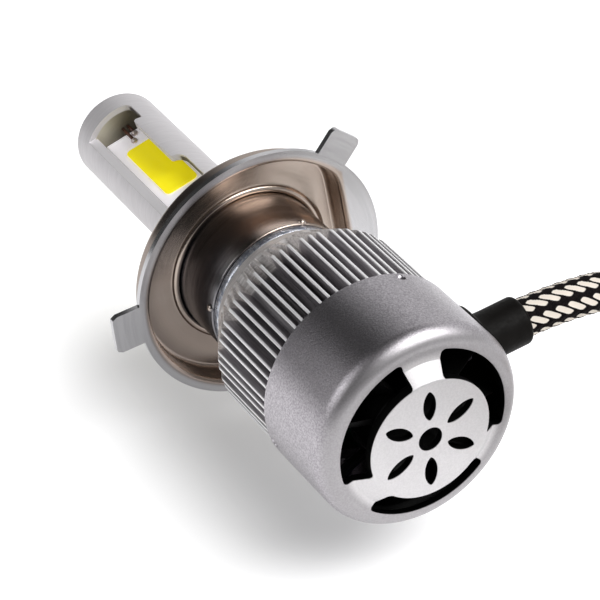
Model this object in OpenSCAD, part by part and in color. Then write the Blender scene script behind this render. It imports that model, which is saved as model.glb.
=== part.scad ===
// LED headlight bulb on a three-lug 43 mm collar, with a fan-cooled body and a braided lead.
// The lamp axis is Y and its tip points to +Y. The origin is the centre of the collar's flange,
// on its rear face, and +Z is up. Angles named _at are clock angles about the lamp axis, in
// degrees: 0 is up, and they turn from +Z towards +X.

/* [Lamp post] */
// Outer radius of the light post
post_r = 7.7; // [7:0.1:8.5]
// Wall of the post's tube
post_wall = 1.2; // [0.8:0.1:1.4]
// Distance from the flange to the tip
tip_y = 50; // [48:0.5:60]
// Thickness of the closed tip
tip_wall = 4.8; // [3:0.1:6]
// Clock angle of the upper light board
board_at = -18; // [-30:1:0]
// Width of a light board
board_w = 8; // [7:0.1:8.4]
// Thickness of a light board
board_t = 1; // [0.6:0.1:1.2]
// Thickness of the flat core between the boards
core_t = 4; // [3:0.1:4.4]
// Length of a phosphor patch
glow_l = 14.9; // [10:0.1:16]
// Width of a phosphor patch
glow_w = 6.1; // [3:0.1:6.6]

/* [Collar] */
// Radius of the flange
flange_r = 21.5; // [21.4:0.05:21.6]
// Thickness of the pressed sheet
sheet_t = 0.9; // [0.6:0.1:1.2]
// Radius at the tips of the lugs
lug_r = 26; // [24.5:0.1:27]
// Radius of the dish
dish_r = 19.3; // [18:0.1:20]
// Distance from the lamp axis to the dish's flat side
dish_flat = 16; // [15.5:0.1:18]
// Depth of the dish
dish_depth = 4; // [3:0.1:5]
// Outer radius of the collar's sleeve
sleeve_r = 12.4; // [12.3:0.05:12.6]

/* [Heatsink] */
// Radius over the fins
fin_r = 16.7; // [16:0.1:17]
// Radius at the bottom of the grooves
groove_r = 13.9; // [13:0.1:15]
// Distance from the flange to the heatsink's front
sink_front = 8.3; // [8:0.1:9]
// Length of the coned front of the fins
cone_l = 8.1; // [6:0.1:10]
// Groups of three fins round the heatsink
fin_groups = 20; // [16:1:22]
// Thickness of one fin
fin_t = 0.66; // [0.5:0.02:0.8]

/* [Fan housing] */
// Outer radius of the housing
cup_r = 17.1; // [16.9:0.1:19]
// Distance from the flange to the housing's front rim
cup_front = 30.9; // [29:0.1:32]
// Distance from the flange to the housing's rear face
cup_rear = 48; // [47.5:0.1:50]
// Wall of the housing
cup_wall = 1.2; // [1:0.1:1.4]
// Radius of the rounded rear edge
cup_round = 3; // [2:0.1:3.2]
// Radius of the raised middle of the grille
plate_r = 10.1; // [9:0.1:11]
// Height of the raised middle of the grille
plate_up = 1.9; // [1:0.1:2.2]
// Outer radius of the grille's slots
slot_r = 14.1; // [13:0.1:14.4]
// Petal openings in the grille
petals = 6; // [4:1:8]

/* [Fan] */
// Radius over the blades
fan_r = 13.9; // [12:0.1:14]
// Number of blades
blades = 9; // [5:1:11]
// Radius of the fan's shaft
shaft_r = 1.5; // [1.2:0.05:1.6]

/* [Cable] */
// Diameter of the braided lead
cord_d = 6.3; // [6:0.1:6.4]
// Radius of the cable gland
gland_r = 3.9; // [3.8:0.1:4.2]
// Distance from the lamp axis to the gland's mouth
gland_end = 25.3; // [24:0.1:27]

/* [Hidden] */
$fn = 96;
eps = 0.01;
rim = 60;                                     // $fn of small round details

// light post
post_bore = post_r - post_wall;
tip_inner = tip_y - tip_wall;
core_r = post_bore - 0.1;
core_w = board_w + 0.8;
board_y0 = 5;
board_y1 = tip_inner - 1.4;
board_top = core_t / 2 + board_t;
glow_y0 = 24.6;
glow_x = 0.42;
glow_t = 0.35;
window_floor = 4.55;                          // height of the cut edge above the lamp axis
window_y0 = 6;
window_low = 3.05;                            // edge of the set-back wall near the flange
window_high = 1;                              // edge of the wall that shades the patch
window_tip = 2.7;                             // edge beside the tip
step_y = 27.1;
shade_y = 40.4;
solder_y = [42.9, 41.2];
solder_x = [1.1, 0.1];
tube_rear = 2;                                // how far the tube reaches behind the flange
core_rear = 26;

// collar and neck
lugs = [[37, 6], [-97, 6.9], [150, 12]];      // clock angle and width of each lug
lug_corner = 0.8;
sleeve_rear = 6.8;
sleeve_bore = sleeve_r - 0.8;
neck_gap = 0.06;                              // running clearance of the sleeve on the neck
neck_r = sleeve_bore - neck_gap;
neck_front = dish_depth + sheet_t - 1.3;
bead_r = 0.65;
spigot_r = 9.5;
spigot_rear = 12;
seal_r = 0.8;
seal_y = 1.5;
pips = [[18, 6.1], [-84, 6.1]];               // clock angle and depth of the locking pips
floor_z = -((lugs[2][1] / 2 - lug_corner) * sin(lugs[2][0]) - (lug_r - lug_corner) * cos(lugs[2][0]))
          - lug_corner;                       // lowest point of the wide lug

// heatsink
ring_r = 12.2;
ring_front = 6.95;
cup_bore = cup_r - cup_wall;
sink_rear = 32.8;
pocket_r = 12.2;
pocket_front = 29;
pad_t = 0.6;
card_t = 1.2;
group_turn = 360 / fin_groups;
fin_turn = 5.1;                               // angle between fins of one group
fin_at = -2.5;                                // clock angle of one group's middle fin

// housing
slots = [[-110, -17], [11, 105], [131, 220]]; // first and last clock angle of each slot
bridge_r = 12.6;
petal_in = 3.5;
petal_out = 8.45;
petal_w = 1.95;
hole_r = 2;
dimples = [18.6, -111, 141];

// fan
frame_front = 38.8;
frame_rear = 45;
frame_in = 14.5;
bearing_r = shaft_r + 0.05;
hub_r = 8;
hub_in = 7.2;
rotor_front = 40.4;
rotor_rear = 46;
magnet_in = 6.5;
stator_r = 6.1;

// cable, plug and coil
gland_y = 35.6;
gland_at = 81;
gland_neck = 2.6;
cord_r = cord_d / 2;
coil_at = [63.5, -78.5];
coil_r = 31.5;                                // middle radius of the coil's two layers
coil_in = coil_r - cord_r;
coil_out = coil_r + cord_r;
tie_t = 0.6;
coil_z = floor_z + tie_t;
tie_w = 5;
tie_turn = -15;
lead_route = [[22.8, -35.6, 3.6], [25, -35.6, 3.95], [29, -35.6, 4.3], [34, -35.6, 4.4], [39, -35.6, 4.1],
              [44, -35.8, 3], [49, -36.4, 1], [54, -37.5, -1.9], [59, -39.2, -5.3], [64, -41.5, -8.6],
              [69, -44.3, -11.4], [74, -47.5, -13.5], [79, -51, -14.7], [83.7, -54.4, -15.2]];
tail_route = [[62, -110.1, -21.45], [57, -110.2, -21.4], [52, -110.2, -21.1], [47.5, -110.1, -20.2],
              [43.5, -110, -19.2], [39, -110, -18.75]];
plug_at = [42, -110];
plug_turn = 180;                              // heading of the plug's blades, from +X towards +Y
plug_size = [19, 26, 13];
plug_corner = 2;
plug_z = floor_z + plug_size[2] / 2;
relief_l = 9;
blade_l = 13;
blade_w = 6.3;
blade_t = 0.8;

// ---- helpers ----

// Draws its children along the lamp axis, from y towards the tip. In a flat outline the clock
// angle a lies at the plane angle a - 90.
module along(y) translate([0, y, 0]) rotate([-90, 0, 0]) children();

// Turns its children from the top of the lamp to a clock angle.
module clock(a) rotate([0, a, 0]) children();

// Cylinder on the lamp axis from y0 to y1.
module rod(r, y0, y1) along(y0) cylinder(r = r, h = y1 - y0);

// Ring on the lamp axis from y0 to y1.
module ring(r, bore, y0, y1) difference() { rod(r, y0, y1); rod(bore, y0 - 1, y1 + 1); }

// Point at radius r and clock angle a in a flat outline that along() draws.
function dial(r, a) = [r * sin(a), -r * cos(a)];

// Wedge-shaped outline between two clock angles, less than 180 apart.
module wedge(a0, a1, r) polygon([[0, 0], dial(r, a0), dial(r, (a0 + a1) / 2), dial(r, a1)]);

// Rectangle with round corners, centred.
module round_plate(w, l, r) {
    square([w - 2 * r, l], center = true);
    square([w, l - 2 * r], center = true);
    for (x = [-1, 1], y = [-1, 1]) translate([x * (w / 2 - r), y * (l / 2 - r)]) circle(r = r);
}

// Both sides of the light post: its upper side and the mirror image below the core.
module both_sides() clock(board_at) { children(); mirror([0, 0, 1]) children(); }
module upper_side() clock(board_at) children();
module lower_side() clock(board_at) mirror([0, 0, 1]) children();

function unit(v) = v / norm(v);

// Tube swept along a route of points, closed at both ends.
module swept_tube(route, r, sides = 10) {
    n = len(route);
    dirs = [for (i = [0:n - 1]) unit(route[min(i + 1, n - 1)] - route[max(i - 1, 0)])];
    flat = [for (d = dirs) unit(cross([0, 0, 1], d))];
    rings = [for (i = [0:n - 1], k = [0:sides - 1])
             let (a = 360 * k / sides, up = cross(dirs[i], flat[i]))
             route[i] + r * (cos(a) * flat[i] + sin(a) * up)];
    walls = [for (i = [0:n - 2], k = [0:sides - 1])
             let (a = i * sides + k, b = i * sides + (k + 1) % sides) [a, a + sides, b + sides, b]];
    caps = [[for (k = [0:sides - 1]) k], [for (k = [sides - 1:-1:0]) (n - 1) * sides + k]];
    polyhedron(points = rings, faces = concat(walls, caps), convexity = 6);
}

// ---- light post ----

// Opening in the tube over a light board, seen from above: x to the right, y towards the tip.
module window_outline() {
    corner = 1.6;
    nose = 0.9;
    difference() {
        union() {
            translate([-10, window_y0]) square([10 + window_low - corner, step_y - window_y0]);
            translate([0, window_y0]) square([window_low, step_y - corner - window_y0]);
            translate([window_low - corner, step_y - corner]) circle(r = corner);
            translate([-10, step_y - 1]) square([10 + window_high, shade_y - step_y + 2]);
            translate([-10, shade_y]) square([10 + window_tip, tip_inner - shade_y]);
            translate([window_high - eps, shade_y - nose]) square([nose + eps, nose + eps]);
        }
        translate([window_high + nose, shade_y - nose]) circle(r = nose);
    }
}

module lamp_core() color("gainsboro") {
    rod(core_r, -core_rear, window_y0 - 2.5);
    clock(board_at) intersection() {
        rod(core_r - 0.1, 0, tip_inner);
        translate([-core_w / 2, 0, -core_t / 2]) cube([core_w, tip_inner, core_t]);
    }
}

module lamp_tube() color("silver") difference() {
    along(-tube_rear) rotate_extrude() difference() {
        union() {
            square([post_r, tip_y + tube_rear - 1.5]);
            square([post_r - 1.5, tip_y + tube_rear]);
            translate([post_r - 1.5, tip_y + tube_rear - 1.5]) circle(r = 1.5);
        }
        translate([-1, -1]) square([post_bore + 1, tip_inner + tube_rear + 1]);
        translate([-5, -1]) square([5, 100]);
    }
    both_sides() translate([0, 0, window_floor]) linear_extrude(10) window_outline();
}

module board() translate([-board_w / 2, board_y0, core_t / 2])
    cube([board_w, board_y1 - board_y0, board_t]);

module board_upper() color("lavender") upper_side() board();
module board_lower() color("lavender") lower_side() board();

module phosphor() translate([glow_x, glow_y0 + glow_l / 2, board_top])
    linear_extrude(glow_t) round_plate(glow_w, glow_l, 0.9);

module phosphor_upper() color("yellow") upper_side() phosphor();
module phosphor_lower() color("yellow") lower_side() phosphor();

// Two domes of solder on each board, beside the tip.
module solder_joints() color("mistyrose") both_sides()
    for (i = [0, 1]) translate([solder_x[i], solder_y[i], board_top]) intersection() {
        sphere(r = 0.62, $fn = rim);
        cylinder(r = 1, h = 1, $fn = rim);
    }

// Enamelled feed wires that run from the solder into the tip.
module board_wires() color("saddlebrown") both_sides()
    for (i = [0, 1]) translate([solder_x[i], 0, board_top + 0.3]) rod(0.28, solder_y[i], tip_inner + 1);

// ---- collar and neck ----

module lug_outline(w) {
    translate([-w / 2, -lug_r + lug_corner]) square([w, lug_r - lug_corner]);
    translate([-w / 2 + lug_corner, -lug_r]) square([w - 2 * lug_corner, 2]);
    for (x = [-1, 1]) translate([x * (w / 2 - lug_corner), -lug_r + lug_corner]) circle(r = lug_corner, $fn = rim);
}

// Round outline cut off by the dish's flat side, which faces clock angle 80.
module dish_outline(r, flat) intersection() {
    circle(r = r);
    rotate(80 - 90) translate([-2 * r, -2 * r]) square([2 * r + flat, 4 * r]);
}

module flange_collar() color("lightsteelblue") difference() {
    union() {
        difference() {
            union() {
                along(0) linear_extrude(sheet_t) {
                    circle(r = flange_r);
                    for (l = lugs) rotate(l[0]) lug_outline(l[1]);
                }
                along(0) linear_extrude(dish_depth + sheet_t) dish_outline(dish_r + 0.8, dish_flat + 0.8);
            }
            along(-1) linear_extrude(1 + dish_depth) dish_outline(dish_r, dish_flat);
        }
        rod(sleeve_r, -sleeve_rear, dish_depth + sheet_t);
        along(dish_depth) rotate_extrude() translate([sleeve_r + bead_r, 0]) circle(r = bead_r, $fn = rim);
        for (p = pips) clock(p[0]) translate([0, -p[1], sleeve_r - 0.2]) sphere(r = 0.7, $fn = rim);
    }
    rod(sleeve_bore, -10, 10);
}

module neck_hub() color("gray") difference() {
    union() {
        rod(neck_r, -ring_front, neck_front);
        rod(spigot_r, -spigot_rear, 0);
    }
    rod(post_r, -tube_rear, 20);
    rod(core_r, -spigot_rear - 1, 0);
    ring(neck_r + 1, neck_r - 2 * seal_r - 0.3, seal_y - seal_r - 0.1, seal_y + seal_r + 0.1);
}

module neck_seal() color("dimgray") along(seal_y)
    rotate_extrude() translate([neck_r - seal_r - 0.3, 0]) circle(r = seal_r, $fn = rim);

module lock_ring() color("lightsteelblue") ring(ring_r, spigot_r, -sink_front, -ring_front);

// ---- heatsink and driver ----

module groove(w) translate([-w / 2, -sink_rear - 1, groove_r]) cube([w, sink_rear, 10]);

module heatsink() color("whitesmoke") {
    narrow = fin_r * fin_turn * PI / 180 - fin_t;
    wide = fin_r * (group_turn - 2 * fin_turn) * PI / 180 - fin_t;
    difference() {
        along(-sink_rear) rotate_extrude() polygon([
            [core_r, 0], [cup_bore, 0], [cup_bore, sink_rear - cup_front], [fin_r, sink_rear - cup_front],
            [fin_r, sink_rear - sink_front - cone_l], [ring_r, sink_rear - sink_front],
            [spigot_r, sink_rear - sink_front], [spigot_r, sink_rear - spigot_rear],
            [core_r, sink_rear - spigot_rear]]);
        rod(pocket_r, -sink_rear - 1, -pocket_front);
        for (g = [0:fin_groups - 1]) clock(fin_at + g * group_turn) {
            for (side = [-0.5, 0.5]) clock(side * fin_turn) groove(narrow);
            clock(group_turn / 2) groove(wide);
        }
    }
}

module thermal_pad() color("lightblue") ring(pocket_r - 0.2, core_r + 0.2, -pocket_front - pad_t, -pocket_front);

module driver_card() color("darkgreen")
    rod(pocket_r - 0.1, -pocket_front - pad_t - card_t, -pocket_front - pad_t);

module driver_parts() color("dimgray") {
    card_rear = -pocket_front - pad_t - card_t;
    clock(60) translate([0, card_rear, 6]) rotate([90, 0, 0]) cylinder(r = 2.6, h = 3.6);
    clock(-60) translate([-3, card_rear - 2.4, 4.5]) cube([6, 2.4, 5]);
    clock(180) translate([-3.5, card_rear - 1.2, 2.5]) cube([7, 1.2, 4.5]);
    for (a = [-110, -140, 110]) clock(a) translate([-0.8, card_rear - 0.8, 8.6]) cube([1.6, 0.8, 2.4]);
}

// Two insulated wires from the driver card to the gland.
module inner_leads() color("firebrick") for (side = [-1, 1]) {
    card_rear = -pocket_front - pad_t - card_t;
    clock(gland_at) translate([side * 1.1, 0, 0]) {
        translate([0, card_rear, 10]) rotate([90, 0, 0]) cylinder(r = 0.7, h = gland_y + card_rear + 0.7);
        translate([0, -gland_y, 9.3]) cylinder(r = 0.7, h = 5.3);
    }
}

// ---- fan housing ----

module leaf(l, w) {
    r = (l * l / 4 + w * w / 4) / w;
    intersection() {
        translate([r - w / 2, 0]) circle(r = r, $fn = rim);
        translate([w / 2 - r, 0]) circle(r = r, $fn = rim);
    }
}

// Half section of the housing: x is the radius and y the distance in front of the rear face.
module cup_section(r, round, front, back) {
    translate([0, back]) square([r - round, front - back]);
    translate([0, back + round]) square([r, front - back - round]);
    translate([r - round, back + round]) circle(r = round);
}

// Solid of revolution with a rounded rear edge, from the rear plane at back to the front plane.
module cup_body(r, round, front, back) rotate_extrude() difference() {
    cup_section(r, round, front, back);
    translate([-9, -9]) square([9, 60]);
}

// Cone that carries the raised middle of the grille.
module grille_cone(shrink, up) {
    slope = (bridge_r - plate_r) / plate_up;
    translate([0, 0, up - plate_up]) cylinder(r1 = plate_r - shrink, r2 = bridge_r - shrink + slope / 2, h = plate_up + 0.5);
}

module fan_housing() color("thistle") difference() {
    along(-cup_rear) difference() {
        union() {
            cup_body(cup_r, cup_round, cup_rear - cup_front, 0);
            grille_cone(0, 0);
        }
        cup_body(cup_bore, cup_round - cup_wall, cup_rear - cup_front + 1, cup_wall);
        grille_cone(0.5, cup_wall);
        for (s = slots) translate([0, 0, -5]) linear_extrude(8) difference() {
            intersection() { circle(r = slot_r); wedge(s[0], s[1], 40); }
            circle(r = plate_r);
        }
        for (i = [0:petals - 1]) translate([0, 0, -5]) linear_extrude(8) rotate(-3 + i * 360 / petals)
            translate([0, -(petal_in + petal_out) / 2]) leaf(petal_out - petal_in, petal_w);
        translate([0, 0, -5]) cylinder(r = hole_r, h = 8);
    }
    for (a = dimples) clock(a) translate([0, -cup_front - 1.4, cup_r + 0.35]) sphere(r = 0.9, $fn = rim);
    clock(gland_at) translate([0, -gland_y, 10]) cylinder(r = gland_neck, h = 10);
}

// ---- fan ----

module fan_frame() color("black") {
    ring(cup_bore, frame_in, -frame_rear, -frame_front);
    ring(5, bearing_r + 0.9, -frame_front - 1, -frame_front);
    for (a = [30:120:270]) clock(a) translate([-1, -frame_front - 1, 4.6]) cube([2, 1, 10.2]);
}

module bearing_sleeve() color("goldenrod") ring(bearing_r + 0.9, bearing_r, -rotor_rear + 1.4, -frame_front);

module stator_core() color("slategray") ring(stator_r, bearing_r + 0.9, -43.2, -41.6);

module stator_coils() color("chocolate") for (a = [0:90:270]) clock(a)
    for (y = [-41.6, -44.2]) translate([-1.4, y, 3]) cube([2.8, 1, 2.6]);

module rotor() color("dimgray") {
    ring(hub_r, hub_in, -rotor_rear, -rotor_front);
    ring(hub_r, shaft_r, -rotor_rear, -rotor_rear + 0.8);
    for (i = [0:blades - 1]) clock(i * 360 / blades) translate([0, -43.2, hub_r - 0.3]) rotate([0, 0, 38])
        translate([-0.35, -2.9, 0]) cube([0.7, 5.8, fan_r - hub_r]);
}

module rotor_magnet() color("darkslategray") ring(hub_in, magnet_in, -rotor_rear + 1, -rotor_front - 0.3);

module rotor_shaft() color("lightgray") rod(shaft_r, -rotor_rear, -frame_front - 0.4);

// ---- cable ----

module cable_gland() color("black") clock(gland_at) translate([0, -gland_y, 0]) difference() {
    union() {
        cylinder(r = gland_neck, h = 20, $fn = rim);
        translate([0, 0, cup_r]) cylinder(r = 6, h = 0.8);
        translate([0, 0, cup_r]) rotate_extrude() {
            square([gland_r, gland_end - cup_r - 0.7]);
            square([gland_r - 0.7, gland_end - cup_r]);
            translate([gland_r - 0.7, gland_end - cup_r - 0.7]) circle(r = 0.7, $fn = rim);
        }
    }
    translate([0, 0, -1]) cylinder(r = 10, h = 15.6);
    translate([0, 0, gland_end - 3]) cylinder(r = cord_r, h = 10);
}

module cord_lead() color("beige") swept_tube(lead_route, cord_r);

module cord_tail() color("beige") swept_tube(tail_route, cord_r);

// Solid outer shape of the coil, whose turns lie in two layers.
module cord_coil() color("beige") translate([coil_at[0], coil_at[1], coil_z]) rotate_extrude() {
    translate([coil_in, cord_r]) square([cord_d, cord_d]);
    for (y = [cord_r, cord_d + cord_r]) translate([coil_r, y]) circle(r = cord_r, $fn = rim);
}

module coil_tie() color("black") translate([coil_at[0], coil_at[1], coil_z]) rotate(tie_turn)
    translate([coil_r, tie_w / 2, cord_d]) rotate([90, 0, 0]) linear_extrude(tie_w) difference() {
        round_plate(cord_d + 2 * tie_t, 2 * cord_d + 2 * tie_t, cord_r);
        round_plate(cord_d, 2 * cord_d, cord_r - tie_t);
    }

// Places its children on the plug: x points along its blades, from the cable end.
module at_plug() translate([plug_at[0], plug_at[1], plug_z]) rotate(plug_turn) children();

module plug_relief() color("black") at_plug() rotate([0, 90, 0]) difference() {
    cylinder(r1 = cord_r + 1, r2 = cord_r + 2.2, h = relief_l);
    translate([0, 0, -1]) cylinder(r = cord_r, h = 4);
}

module plug_body() color("black") at_plug() translate([relief_l + plug_size[0] / 2, 0, 0])
    difference() {
        translate([0, 0, -plug_size[2] / 2]) linear_extrude(plug_size[2])
            round_plate(plug_size[0], plug_size[1], plug_corner);
        for (s = [-1, 1]) translate([-3, s * (plug_size[1] / 2 + 0.6), -20]) cylinder(r = 2, h = 40);
    }

// Two upright blades and one flat blade above them.
module plug_blades() color("silver") at_plug() translate([relief_l + plug_size[0], 0, 0]) {
    for (s = [-1, 1]) translate([0, s * 8.5 - blade_t / 2, -blade_w / 2 - 1]) cube([blade_l, blade_t, blade_w]);
    translate([0, -blade_w / 2, 3]) cube([blade_l, blade_w, blade_t]);
}

lamp_core();
lamp_tube();
board_upper();
board_lower();
phosphor_upper();
phosphor_lower();
solder_joints();
board_wires();
flange_collar();
neck_hub();
neck_seal();
lock_ring();
heatsink();
thermal_pad();
driver_card();
driver_parts();
inner_leads();
fan_housing();
fan_frame();
bearing_sleeve();
stator_core();
stator_coils();
rotor();
rotor_magnet();
rotor_shaft();
cable_gland();
cord_lead();
cord_coil();
coil_tie();
cord_tail();
plug_relief();
plug_body();
plug_blades();
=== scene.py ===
import math

import bmesh
import bpy
import numpy as np
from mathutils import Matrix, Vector


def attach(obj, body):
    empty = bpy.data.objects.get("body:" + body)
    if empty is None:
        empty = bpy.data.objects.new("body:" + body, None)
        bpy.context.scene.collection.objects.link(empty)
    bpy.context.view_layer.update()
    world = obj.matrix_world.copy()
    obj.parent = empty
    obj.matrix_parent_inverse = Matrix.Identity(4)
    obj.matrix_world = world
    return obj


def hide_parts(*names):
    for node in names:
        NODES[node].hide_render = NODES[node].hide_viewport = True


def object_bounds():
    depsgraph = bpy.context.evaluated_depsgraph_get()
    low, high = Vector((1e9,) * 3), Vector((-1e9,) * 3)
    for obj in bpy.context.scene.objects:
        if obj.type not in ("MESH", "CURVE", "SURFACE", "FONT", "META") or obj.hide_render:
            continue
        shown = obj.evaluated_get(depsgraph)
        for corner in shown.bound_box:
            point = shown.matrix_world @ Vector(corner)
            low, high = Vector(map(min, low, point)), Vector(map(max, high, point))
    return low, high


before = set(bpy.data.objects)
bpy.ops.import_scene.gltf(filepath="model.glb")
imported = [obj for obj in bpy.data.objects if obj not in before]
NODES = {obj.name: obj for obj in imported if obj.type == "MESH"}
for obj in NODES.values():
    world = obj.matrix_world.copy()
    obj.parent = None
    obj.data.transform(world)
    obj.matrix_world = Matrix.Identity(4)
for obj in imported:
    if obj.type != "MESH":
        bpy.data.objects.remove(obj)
cad_low, cad_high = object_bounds()
MM = 0.001

# ---------------------------------------------------------------- sizes, in millimetres
# Angles named _at are clock angles about the lamp axis (Y): 0 is up, turning towards +X.

FLOOR_Z = cad_low.z / MM

POST_R = 7.7
POST_WALL = 1.2
POST_REAR = -2
POST_TIP = 50
BOARD_AT = -18
# The windows over the light boards, with the height of their edges over the axis.
WINDOW_FLOOR = 4.55
WINDOW_REAR = 6
WINDOW_STEP = 27.1
WINDOW_NOTCH = 40.4
WINDOW_END = 45.2

FLANGE_R = 21.5
SHEET_T = 0.9
LUG_R = 26
LUGS = [(37, 6), (-97, 6.9), (150, 12)]
DISH_R = 19.3
DISH_FLAT = 16
DISH_FLAT_AT = 80
DISH_DEPTH = 4
SLEEVE_R = 12.4
SLEEVE_REAR = -6.8
PIPS = [(18, -6.1), (-84, -6.1)]

CUP_R = 17.1
CUP_BORE = 15.9
CUP_WALL = 1.2
CUP_FRONT = -30.9
CUP_REAR = -48
CUP_ROUND = 3
PLATE_R = 10.1
PLATE_UP = 1.9
BRIDGE_R = 12.6
SLOT_R = 14.1
SLOTS = [(-110, -17), (11, 105), (131, 220)]
DIMPLES = [18.6, -111, 141]
HOLE_R = 2
PETALS = 6
PETAL_AT = -3
PETAL_IN = 3.4
PETAL_OUT = 8.57
PETAL_W = 2.2

FIN_GROUPS = 20
FIN_TURN = 5.1
FIN_AT = -2.5
FIN_T = 0.66
FIN_R = 16.7
GROOVE_R = 13.9
SINK_FRONT = -8.3
SINK_REAR = -32.8
CONE_L = 8.1
RING_R = 12.2
SINK_BORE = 6.4
SPIGOT_R = 9.5
SPIGOT_REAR = -12
RECESS_FRONT = -29

GLAND_AT = 81
GLAND_Y = -35.6
GLAND_R = 3.9
GLAND_END = 25.3
GLAND_LIP_R = 6
GLAND_LIP_T = 0.8

CORD_R = 3.15
COIL_CENTRE = (63.5, -78.5)
COIL_R = 31.5
COIL_Z = FLOOR_Z + 0.6 + CORD_R
TIE_TURN = -15
TIE_W = 5
PLUG_AT = (42, -110, FLOOR_Z + 6.5)
RELIEF_L = 9
RELIEF_RIBS = 4

# ---------------------------------------------------------------- camera, fitted to the photograph's outlines

camera_data = bpy.data.cameras.new("camera")
camera_data.lens = 175.4
camera_data.sensor_width = 36
camera = bpy.data.objects.new("camera", camera_data)
camera.location = (-0.18598, -0.33311, 0.25487)
camera.rotation_mode = "QUATERNION"
camera.rotation_quaternion = Vector((0.4144, 0.7150, -0.5631)).to_track_quat("-Z", "Y")
bpy.context.scene.collection.objects.link(camera)
bpy.context.scene.camera = camera


# ---------------------------------------------------------------- node helpers

class Paint:
    """A material with a Principled shader, and short calls that add nodes to it."""

    def __init__(self, name, colour, roughness, metallic=0.0, **sockets):
        self.material = bpy.data.materials.new(name)
        self.material.use_nodes = True
        self.tree = self.material.node_tree
        self.shader = self.tree.nodes["Principled BSDF"]
        self.set("Base Color", colour)
        self.set("Roughness", roughness)
        self.set("Metallic", metallic)
        for socket, value in sockets.items():
            self.set(socket.replace("_", " "), value)
        self.material.diffuse_color = (*colour, 1)

    def set(self, socket, value):
        target = self.shader.inputs[socket]
        target.default_value = (*value, 1) if target.type == "RGBA" else value

    def node(self, kind, inputs=None, **settings):
        made = self.tree.nodes.new("ShaderNode" + kind)
        for key, value in settings.items():
            setattr(made, key, value)
        for key, value in (inputs or {}).items():
            if isinstance(value, bpy.types.NodeSocket):
                self.tree.links.new(value, made.inputs[key])
            else:
                made.inputs[key].default_value = value
        return made

    def math(self, operation, a, b=0.0, c=0.0):
        return self.node("Math", {0: a, 1: b, 2: c}, operation=operation).outputs[0]

    def place(self):
        """Position on the object, in millimetres."""
        spot = self.node("TexCoord").outputs["Object"]
        return self.node("VectorMath", {0: spot, "Scale": 1 / MM}, operation="SCALE").outputs[0]

    def noise(self, scale, detail=2.0, roughness=0.5, at=None, stretch=(1, 1, 1)):
        """Noise whose grains are about 1 / scale millimetres across."""
        at = at or self.place()
        spot = self.node("VectorMath", {0: at, 1: stretch}, operation="MULTIPLY").outputs[0]
        inputs = {"Vector": spot, "Scale": scale, "Detail": detail, "Roughness": roughness}
        return self.node("TexNoise", inputs).outputs["Fac"]

    def turned(self, scale, detail, around):
        """Noise drawn out round the lamp axis, as turning or brushing leaves it."""
        x, y, z = self.split(self.place())
        turn = self.math("MULTIPLY", self.math("ARCTAN2", x, z), around)
        spot = self.node("CombineXYZ", {0: self.distance(x, z), 1: y, 2: turn}).outputs[0]
        return self.noise(scale, detail, 0.6, at=spot)

    def split(self, vector):
        return self.node("SeparateXYZ", {0: vector}).outputs

    def distance(self, a, b):
        """Length of a step of a one way and b across it."""
        return self.math("SQRT", self.math("ADD", self.math("MULTIPLY", a, a), self.math("MULTIPLY", b, b)))

    def ramp(self, factor, low, high, to_low=0.0, to_high=1.0):
        """Smooth step from to_low, where factor is low, to to_high, where it is high."""
        inputs = {"Value": factor, "From Min": low, "From Max": high, "To Min": to_low, "To Max": to_high}
        return self.node("MapRange", inputs, interpolation_type="SMOOTHSTEP").outputs[0]

    def mix(self, factor, a, b):
        """Colour between a and b, each a colour or a socket."""
        made = self.node("Mix", data_type="RGBA")
        for index, value in ((0, factor), (6, a), (7, b)):
            if isinstance(value, bpy.types.NodeSocket):
                self.tree.links.new(value, made.inputs[index])
            else:
                made.inputs[index].default_value = (*value, 1) if isinstance(value, tuple) else value
        return made.outputs[2]

    def drive(self, socket, value):
        self.tree.links.new(value, self.shader.inputs[socket])

    def bump(self, height, depth, strength=1.0):
        """Bump whose full height is depth, in millimetres."""
        inputs = {"Height": height, "Distance": depth * MM, "Strength": strength}
        self.drive("Normal", self.node("Bump", inputs).outputs[0])


# ---------------------------------------------------------------- materials

def blasted_aluminium():
    """Sand-blasted silver anodising: fine grains on grey mauve, smoother on the grille, which is painted
    paler as painted light, and painted near black in its holes as painted shade.
    """
    p = Paint("blasted_aluminium", (0.52, 0.49, 0.52), 0.36, 1.0)
    x, y, z = p.split(p.place())
    radius = p.distance(x, z)
    side = p.ramp(y, CUP_REAR + 0.2, CUP_REAR + 2.5, 0.25, 1.0)
    rolled = p.ramp(y, CUP_REAR + 4, CUP_REAR + 1.5, 0.0, 0.06)
    grain = p.noise(3.6, 3.0, 0.7)
    broad = p.noise(0.12, 2.0)
    tone = p.mix(p.ramp(grain, 0.36, 0.66), (0.33, 0.31, 0.335), (0.53, 0.505, 0.535))
    # Painted light: the raised grille and its bridges are painted paler than the ring beyond the slots.
    plain = p.mix(p.ramp(broad, 0.3, 0.7), (0.74, 0.725, 0.73), (0.70, 0.685, 0.69))
    plain = p.mix(p.ramp(radius, BRIDGE_R, SLOT_R), plain, (0.37, 0.357, 0.365))
    # Painted shade: the walls of the slots and petals, below the grille's rear skin, are painted near black.
    skin = p.node("MapRange", {"Value": radius, "From Min": PLATE_R, "From Max": BRIDGE_R,
                               "To Min": CUP_REAR - PLATE_UP, "To Max": CUP_REAR}).outputs[0]
    under = p.ramp(p.math("SUBTRACT", y, skin), 0.08, 0.16)
    painted_hole_shade = p.math("MULTIPLY", under, p.ramp(radius, SLOT_R + 0.3, SLOT_R + 0.1))
    p.drive("Base Color", p.mix(painted_hole_shade, p.mix(side, plain, tone), (0.006, 0.006, 0.006)))
    p.drive("Metallic", p.ramp(y, CUP_REAR + 0.2, CUP_REAR + 2.0, 0.75, 1.0))
    p.drive("Roughness", p.math("ADD", rolled, p.ramp(grain, 0.3, 0.7, 0.38, 0.28)))
    p.bump(grain, 0.07, p.math("MULTIPLY", side, 0.6))
    return p.material


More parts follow.
